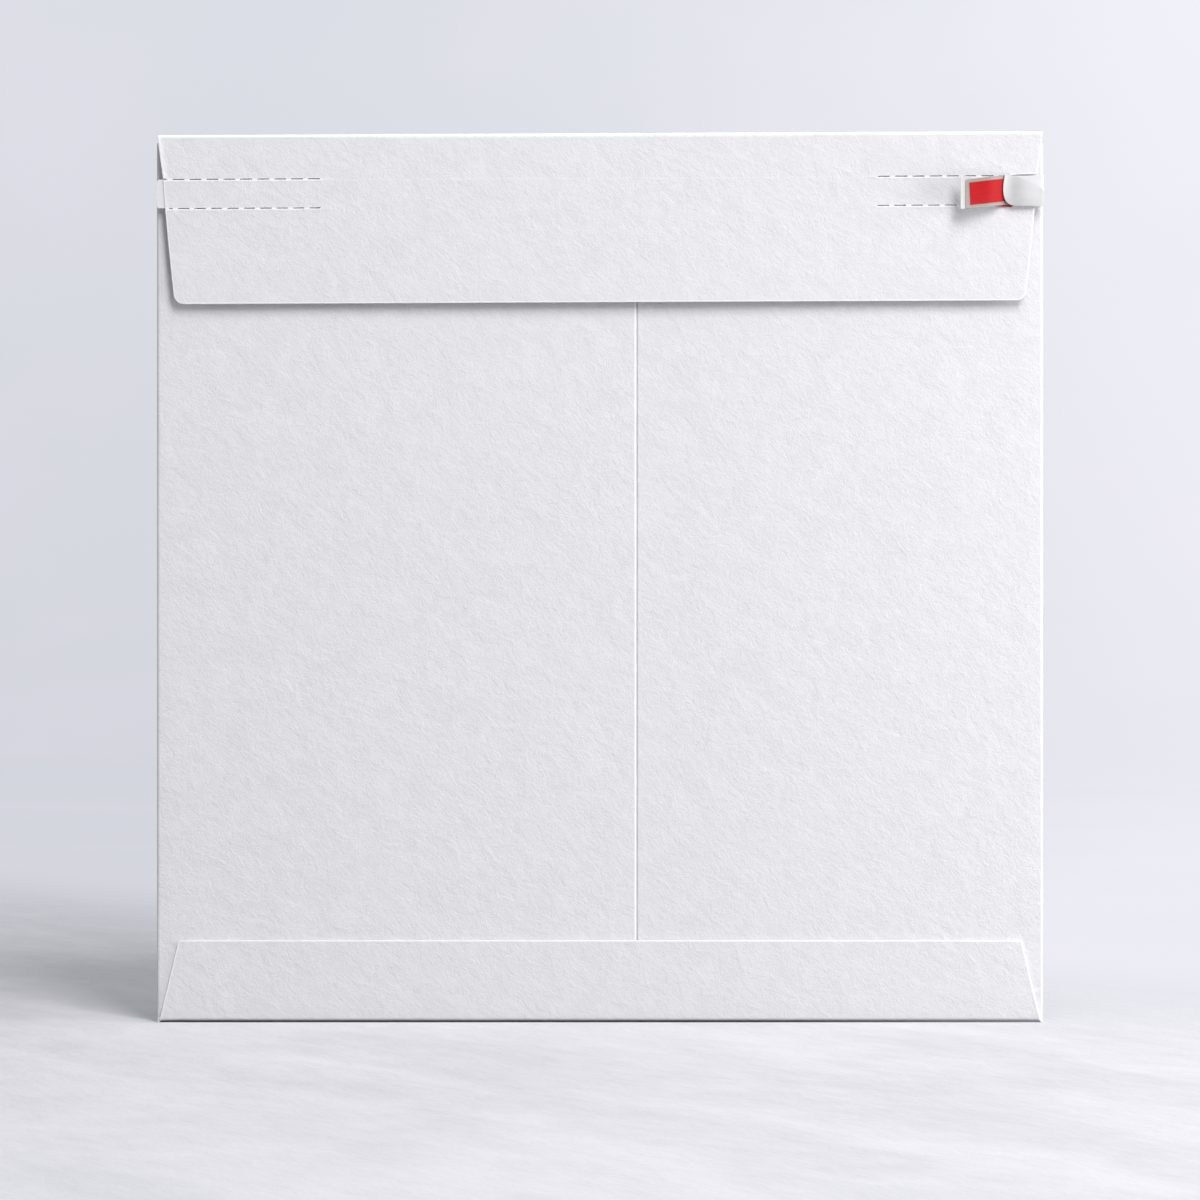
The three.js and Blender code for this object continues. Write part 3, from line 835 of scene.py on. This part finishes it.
# Each row of cuts: its height, the side it is on, where its first cut starts, and its pitch.
rows = [
    (strip_top_z, -1, 69.3, 4.2),
    (strip_low_z, -1, 69.1, 4.07),
    (strip_top_z, 1, 68.8, 4.27),
    (strip_low_z, 1, 68.6, 4.19),
]


def cut_shape(low_u, high_u, row_z):
    """A short cut with round ends, run round to the right."""
    half = cut_width / 2
    shape = []
    for centre_u, start in ((high_u - half, 90), (low_u + half, 270)):
        for i in range(5):
            angle = math.radians(start - 45 * i)
            shape.append((centre_u + half * math.cos(angle), row_z + half * math.sin(angle)))
    return shape


perforations = []
for row_z, side, first, pitch in rows:
    last = flap_side_x(row_z) - (torn_length if side > 0 else 0) - nick_length
    start = first
    while start + shortest_cut < last:
        end = min(start + pitch - bridge, last)
        ends = sorted((side * start, side * end))
        perforations.append(cut_shape(*ends, row_z))
        start += pitch


def torn_edge(row_z, length, opening):
    """The points of a cut that opens to the right side edge, from below: in along it and out again. The
    opening is how much wider it gets on the way out, upwards or, below 0, downwards."""
    half = (torn_gap if opening else cut_width) / 2
    inner = flap_side_x(row_z) - length
    lower = row_z - half + min(opening, 0)
    upper = row_z + half + max(opening, 0)
    tip = [(inner, row_z - half), (inner - 0.12, row_z), (inner, row_z + half)]
    return [(flap_side_x(lower), lower), *tip, (flap_side_x(upper), upper)]


def rounded_corner(u, v, radius, start, steps=5):
    """Points of a quarter circle to the left about the corner's own centre, from a start angle in degrees."""
    angles = [math.radians(start + 90 * i / steps) for i in range(steps + 1)]
    return [(u + radius * math.cos(angle), v + radius * math.sin(angle)) for angle in angles]


corner_z = flap_edge_z + flap_corner_radius
corner_u = flap_side_x(corner_z) - flap_corner_radius
right_side = rounded_corner(corner_u, corner_z, flap_corner_radius, -90, 8)
left_side = other_side(right_side)
for z in split_evenly(corner_z, strip_low_z - 2, 4)[1:]:
    right_side.append((flap_side_x(z), z))
    left_side.insert(0, (-flap_side_x(z), z))
shoulder = [(flap_side_x(z), z) for z in (body_height - shoulder_drop / 2, crease_z)]
shoulder.append((flap_side_x(body_height), flap_top_v))
right_side += torn_edge(strip_low_z, torn_length, torn_gap - torn_width)
right_side += torn_edge(strip_top_z, torn_length, torn_width - torn_gap)
right_side += shoulder
left_top = [(flap_side_x(strip_low_z), strip_low_z), *torn_edge(strip_top_z, nick_length, 0), *shoulder]
left_side = other_side(left_top) + left_side


def flap_highlights(u, v):
    """Painted highlights: white along the crease, along the left side edge above the strip, and along the
    lower side of each row of cuts."""
    highlight_share = ease((v - crease_z + 0.2) / 0.55)
    if v > strip_top_z:
        highlight_share = max(highlight_share, highlight_strength * ease((1.5 - u - flap_side_x(v)) / 0.9))
    for row_z in row_heights:
        below = row_z - v - cut_width / 2
        if abs(u) > perforated_from and -cut_width < below < 0.5:
            highlight_share = max(highlight_share, highlight_strength * ease((0.5 - below) / 0.2))
    return highlight_share


row_ends = [(-half_width + 1, -68), (68, half_width - 1)]
row_bands = [(row_z - 1.2, row_z + 0.9) for row_z in row_heights]
flap = cut_board(
    "closure_flap_blank",
    right_side + left_side,
    grid_lines(-half_width, half_width, flap_step, row_ends, 0.7),
    grid_lines(flap_edge_z, flap_top_v, flap_step, [*row_bands, (crease_z - 0.6, flap_top_v)]),
    flap_place,
    board,
    flap_step,
    cuts=perforations,
    highlight_of=flap_highlights,
)
flap.data.materials.append(board_material)
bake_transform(flap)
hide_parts("closure_flap")


# Two thin lines of cream glue hold the pocket together: one down the centre seam, one across the bottom flap.
# A third one inside the closure flap waits under a strip of coated release paper.
film_tree, film_in, film_out = new_effect(
    "Thin Film",
    [
        ("Film", "Color", (0.8, 0.8, 0.8, 1)),
        ("Grain Size", "Float", 0.6),
        ("Streak", "Float", 3.0),
        ("Depth", "Float", 0.04),
        ("Gloss", "Float", 0.45),
    ],
    [("Colour", "Color"), ("Roughness", "Float"), ("Height", "Float")],
)
film_place = add_node(film_tree, "Attribute", attribute_name="blank")
fine = work_out(film_tree, "MULTIPLY", film_in.outputs["Grain Size"], mm)
long = work_out(film_tree, "MULTIPLY", fine, film_in.outputs["Streak"])
grain_shape = add_node(film_tree, "CombineXYZ", {0: long, 1: fine, 2: fine})
drawn = add_node(
    film_tree,
    "Mapping",
    {"Vector": film_place.outputs["Vector"], "Scale": grain_shape.outputs[0]},
    vector_type="TEXTURE",
)
grain = add_node(
    film_tree, "TexNoise", {"Vector": drawn.outputs[0], "Scale": 1.0, "Detail": 3.0, "Roughness": 0.55}
).outputs["Fac"]
swing = spread_out(film_tree, grain, 0.3, 0.7, -1.0, 1.0)
amount = work_out(film_tree, "MULTIPLY", swing, film_in.outputs["Depth"])
bright = work_out(film_tree, "ADD", amount, 1.0)
streaked = scaled_colour(film_tree, film_in.outputs["Film"], bright)
dullness = work_out(film_tree, "ADD", amount, film_in.outputs["Gloss"])
give_out(film_tree, film_out, Colour=streaked, Roughness=dullness, Height=grain)


def film_material(name, colour, grain, streak, depth, gloss, relief, specular=0.5):
    """A smooth film or paper. The colour is one for all of it, or a function that adds its nodes."""
    material, tree = new_material(name)
    film = add_node(
        tree,
        "Group",
        {
            "Film": colour(tree) if callable(colour) else colour,
            "Grain Size": grain,
            "Streak": streak,
            "Depth": depth,
            "Gloss": gloss,
        },
        node_tree=film_tree,
    )
    finish_sheet(tree, film, relief * mm, specular)
    return material


def thin_piece(name, outline, place, thickness, material, nodes, step=4.0, folds=(), rounding=0.03):
    """A strip of glue, paper or tape: cut, folded, given its material and put in place of its CAD nodes."""
    lows, highs = reach_of(outline)
    lines_u = grid_lines(lows[0], highs[0], step, folds, 0.12)
    lines_v = grid_lines(lows[1], highs[1], min(step, (highs[1] - lows[1]) / 8), [])
    piece = cut_board(name, outline, lines_u, lines_v, place, thickness, step, rounding)
    piece.data.materials.append(material)
    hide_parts(*nodes)
    return piece


def flat_strip(name, node, place, thickness, material):
    """A straight strip, as wide and as high as its CAD node."""
    low, high = box_mm(node)
    outline = [(low.x, low.z), (high.x, low.z), (high.x, high.z), (low.x, high.z)]
    return thin_piece(name, outline, place, thickness, material, [node])


def on_back(u, v, depth):
    """A point in or on the closure side of the pocket; depth counts inwards from its outer face."""
    return u, back_y + depth - back_wave(u, v), v


def inside_flap(u, v, depth):
    return flap_place(u, v, board + depth)


cream = (0.8, 0.74, 0.58, 1)
glue_film = film_material("cream_glue", cream, grain=2.2, streak=4.0, depth=0.07, gloss=0.28, relief=0.05)
seam_line = flat_strip(
    "seam_glue_line",
    "centre_seam_glue",
    lambda u, v, depth: on_back(u, v, board + depth),
    seam_glue,
    glue_film,
)
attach(seam_line, "pocket_body")
bottom_line = flat_strip(
    "bottom_glue_line",
    "bottom_flap_glue",
    lambda u, v, depth: on_back(u, v, depth - seam_glue),
    seam_glue,
    glue_film,
)
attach(bottom_line, "pocket_body")

closing_glue = 0.1
release_thickness = 0.12
closing_line = flat_strip(
    "closing_glue_line", "closure_adhesive", inside_flap, closing_glue, glue_film
)
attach(closing_line, "flap")
ivory = (0.87, 0.85, 0.8, 1)
release_film = film_material(
    "release_paper", ivory, grain=0.9, streak=6.0, depth=0.03, gloss=0.38, relief=0.012
)
release = flat_strip(
    "release_paper_strip",
    "release_liner",
    lambda u, v, depth: inside_flap(u, v, closing_glue + depth),
    release_thickness,
    release_film,
)
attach(release, "flap")


# The tear tape is a smooth film stuck behind the strip. It sticks out on the left as a finger tab. On the
# right it folds back round the flap's edge and runs left over the flap, where it lifts off as the pull tab.
tape_thickness = 0.2
tape_low, tape_high = box_mm("tear_tape")
tape_mid_z = (tape_low.z + tape_high.z) / 2
tape_end_x = tape_low.x
fold_radius = 0.6
fold_x = tape_high.x - fold_radius
fold_length = fold_radius * math.pi
tape_start_q = -(flap_outer_y + board)
tab_flat = 6.9
tab_bend_radius = 4.8
tab_back_radius = 5.2
tab_lift = 42
tab_tip_lift = 12
tab_bend_length = tab_bend_radius * math.radians(tab_lift)
tab_rise = 2
tab_back_length = tab_back_radius * math.radians(tab_lift - tab_tip_lift)
tab_level = 6.6
tab_length = tab_flat + tab_bend_length + tab_rise + tab_back_length + tab_level
tab_droop_start = 9
end_drop = 1.6
wide_end = 1.25
wide_end_height = 8.2
wide_end_rise = 0.6
tab_lean = 0.8
strip_mid_z = (strip_low_z + strip_top_z) / 2
finger_length = -flap_side_x(strip_mid_z) - tape_end_x
finger_curl = 0.42
tape_run = fold_x - tape_end_x
tape_path = [
    (tape_run, 0),
    (fold_length, 180),
    (tab_flat, 0),
    (tab_bend_length, -tab_lift),
    (tab_rise, 0),
    (tab_back_length, tab_lift - tab_tip_lift),
    (2 * tab_level, 0),
]


def tab_forward(past, v):
    """How far the tab's upper edge leans out and its lower one in: most where it rises, none at its ends."""
    leaning = ease((past - tab_flat - 1) / 3.2) * ease((tab_length - past) / 9)
    return tab_lean * leaning * (v - tape_mid_z) / (tape_high.z - tape_low.z) * 2


def tape_place(u, v, depth):
    """u is the place along the tape: at the fold it goes on past the tape's end, and then along the tab."""
    along = u - tape_end_x
    x, q = follow(tape_path, (tape_end_x, tape_start_q - tape_thickness), 0, along, depth)
    past = along - tape_run - fold_length
    droop = end_drop * max(0.0, past - tab_droop_start) / (tab_length - tab_droop_start)
    near_x = min(max(x, -half_width), half_width)
    proud = flap_lift(near_x, strip_mid_z)
    proud += finger_curl * ease(finger_length - along) + tab_forward(past, v)
    return x, -q - proud, v - droop + flap_rise * x / half_width


tape_corner = 0.8
wide_corner = 0.3
tab_root = fold_x + fold_length
tape_tip = tab_root + tab_length
wide_low = tape_mid_z - wide_end_height / 2 + wide_end_rise
wide_high = wide_low + wide_end_height
tape_outline = [
    *rounded_corner(tape_end_x + tape_corner, tape_low.z + tape_corner, tape_corner, 180),
    (tape_tip - wide_end, tape_low.z),
    (tape_tip - wide_end, wide_low),
    *rounded_corner(tape_tip - wide_corner, wide_low + wide_corner, wide_corner, 270, 2),
    *rounded_corner(tape_tip - wide_corner, wide_high - wide_corner, wide_corner, 0, 2),
    (tape_tip - wide_end, wide_high),
    (tape_tip - wide_end, tape_high.z),
    *rounded_corner(tape_end_x + tape_corner, tape_high.z - tape_corner, tape_corner, 90),
]
bend_at = tab_root + tab_flat
back_at = bend_at + tab_bend_length + tab_rise
tape_bends = [(fold_x, tab_root), (bend_at, bend_at + tab_bend_length), (back_at, back_at + tab_back_length)]

film_white = (0.7, 0.695, 0.715, 1)
# Painted shade on the tape's loose end.
end_painted_shade_deep = (0.48, 0.49, 0.485, 1)
end_painted_shade_soft = (0.6, 0.605, 0.6, 1)


def tape_tone(tree):
    """The film is white all along; its loose end has painted shade, greyest next to the liner and lighter
    towards the tip.
    """
    tape_blank = add_node(tree, "Attribute", attribute_name="blank")
    along = add_node(tree, "SeparateXYZ", {0: tape_blank.outputs["Vector"]}).outputs["X"]
    toward_tip = spread_out(tree, along, (tape_tip - 3) * mm, (tape_tip - 0.2) * mm)
    end_shade = blend_colours(tree, toward_tip, end_painted_shade_deep, end_painted_shade_soft)
    on_end = work_out(tree, "GREATER_THAN", along, (tape_tip - 4) * mm)
    return blend_colours(tree, on_end, film_white, end_shade)


tape_film = film_material(
    "smooth_white_film", tape_tone, grain=1.1, streak=5.0, depth=0.03, gloss=0.45, relief=0.01, specular=0.35
)
tape = thin_piece(
    "tear_tape_strip",
    tape_outline,
    tape_place,
    tape_thickness,
    tape_film,
    ["tear_tape", "pull_tab_lead"],
    folds=tape_bends,
)
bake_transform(tape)


# The pull tab's own layers lie on the lifted end of the tape: warm grey liner paper, a red tape on that, and
# the folded-under edge of the red tape below, a thin line in a darker red that paints its shade.
def on_tab(u, v, depth):
    """u is measured like x on the flat part of the tab, so that a piece is laid out as it is seen."""
    return tape_place(tab_root + fold_x - u, v, depth)


liner_thickness = 0.15
red_thickness = 0.15
layer_gap = 0.01
layer_step = 1.0
liner_half = 3.6
liner_corner = 0.5
liner_margin = 0.95
liner_left_u = fold_x - tab_length + wide_end
root_u = fold_x - 6.6
corner_left_u = liner_left_u + liner_corner
corner_half = liner_half - liner_corner
liner_outline = [
    *rounded_corner(corner_left_u, tape_mid_z - corner_half, liner_corner, 180, 3),
    (root_u, tape_mid_z - liner_half),
    (root_u, tape_mid_z + liner_half + 0.1),
    *rounded_corner(corner_left_u, tape_mid_z + corner_half, liner_corner, 90, 3),
]
warm_grey = (0.325, 0.29, 0.26, 1)
liner_film = film_material(
    "grey_liner_paper", warm_grey, grain=0.5, streak=5.0, depth=0.06, gloss=0.5, relief=0.012
)
liner = thin_piece(
    "pull_tab_liner_paper",
    liner_outline,
    lambda u, v, depth: on_tab(u, v, depth - liner_thickness - layer_gap),
    liner_thickness,
    liner_film,
    ["pull_tab_liner"],
    step=layer_step,
)
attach(liner, "pull_tab")

tape_red = (0.46, 0.0085, 0.013, 1)
red_film = film_material(
    "red_film", tape_red, grain=0.45, streak=9.0, depth=0.09, gloss=0.5, relief=0.012, specular=0.12
)
red_half = 2.75
red_left_u = liner_left_u + liner_margin
red_outline = [
    (red_left_u + 0.3, tape_mid_z - red_half),
    (root_u, tape_mid_z - red_half),
    (root_u, tape_mid_z + red_half),
    (red_left_u, tape_mid_z + red_half),
]
red = thin_piece(
    "pull_tab_red_tape",
    red_outline,
    lambda u, v, depth: on_tab(u, v, depth - liner_thickness - red_thickness - 2 * layer_gap),
    red_thickness,
    red_film,
    ["pull_tab_tape"],
    step=layer_step,
)
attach(red, "pull_tab")

# The red edge as points from the root of the tab and the middle of the tape.
red_edge_cut = [(-5.7, -3.6), (-4.3, -3.9), (-2.7, -4.15), (-1.2, -4.25), (-0.3, -3.95), (-0.3, -3.1)]
red_edge_cut.append((-5.7, -3.1))
# The folded-under edge takes a darker copy of the red film: painted shade.
red_painted_shade = (0.3, 0.012, 0.016, 1)
red_edge_film = film_material(
    "red_film_edge_painted_shade", red_painted_shade, grain=0.45, streak=9.0, depth=0.09, gloss=0.45, relief=0.012
)
red_edge = thin_piece(
    "pull_tab_red_edge",
    [(root_u + u, tape_mid_z + v) for u, v in red_edge_cut],
    lambda u, v, depth: on_tab(u, v, depth + tape_thickness + layer_gap),
    red_thickness,
    red_edge_film,
    ["pull_tab_tape_return"],
    step=layer_step,
)
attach(red_edge, "pull_tab")


# A finger piece of smooth white film is stuck over the root of the tab and swells out there. Its left end is
# a round lip, and its right end goes down over the fold of the tape.
cover_thickness = 0.25
cover_right_u = fold_x + 0.45
cover_high_z = tape_mid_z + 3.7
cover_height = 7.8
cover_swell = 0.8
# The cover's outline as points from its right edge and from the height of its upper left corner.
cover_left = [(-9.55, 0), (-9.91, -1.3), (-10.13, -2.9), (-10.08, -4.6), (-9.8, -5.8), (-9.15, -6.9)]
cover_foot = [(-7.85, -7.6), *((u, -cover_height) for u in (-5.75, -2.75, -0.7))]
cover_right = [(-0.12, -cover_height + 0.35), (0, -cover_height + 1.2), (0, -4.6), (-0.15, -3.9)]
cover_top = [(-0.75, -3.2), (-2.75, -2.1), (-4.75, -1.15), (-6.75, -0.45), (-8.55, -0.05)]


def smooth_loop(points, parts=4):
    """A closed smooth curve through given points, by Catmull and Rom's rule."""
    loop = []
    for i in range(len(points)):
        a, b, c, d = (Vector(points[(i + k) % len(points)]) for k in (-1, 0, 1, 2))
        for part in range(parts):
            t = part / parts
            bend = 2 * a - 5 * b + 4 * c - d
            loop.append(b + 0.5 * t * (c - a + t * (bend + t * (3 * (b - c) + d - a))))
    return loop


cover_cut = [*cover_left, *cover_foot, *cover_right, *cover_top]
cover_outline = [(cover_right_u + point.x, cover_high_z + point.y) for point in smooth_loop(cover_cut)]
cover_left_u = min(u for u, v in cover_outline)


def cover_place(u, v, depth):
    """The piece keeps its width as seen face on, and stays in front of the tab where that bends away."""
    past = max(0.0, fold_x - tab_flat - u)
    front_radius = tab_bend_radius - liner_thickness - red_thickness - 2 * layer_gap
    rise = front_radius - math.sqrt(front_radius**2 - past**2) + tab_forward(tab_flat + past, v)
    share = (cover_right_u - u) / (cover_right_u - cover_left_u)
    across = abs(v - cover_high_z + cover_height / 2) / (cover_height / 2)
    level = 0.08 + 0.42 * ease(1.8 * share) + 0.12 * ease((share - 0.9) / 0.1)
    swell = cover_swell * math.sin(math.pi * min(max(share, 0.0), 1.0)) * (1 - 0.4 * min(across, 1.0) ** 4)
    x, y, z = on_tab(u + past, v, depth - cover_thickness - level - swell)
    return x - past, y - rise, z


cover_grey = (0.53, 0.53, 0.535, 1)
cover_film = film_material(
    "grey_white_film", cover_grey, grain=1.1, streak=5.0, depth=0.03, gloss=0.45, relief=0.01, specular=0.35
)
cover = thin_piece(
    "pull_tab_finger_piece",
    cover_outline,
    cover_place,
    cover_thickness,
    cover_film,
    ["pull_tab_cover"],
    step=0.6,
    rounding=0.08,
)
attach(cover, "pull_tab")
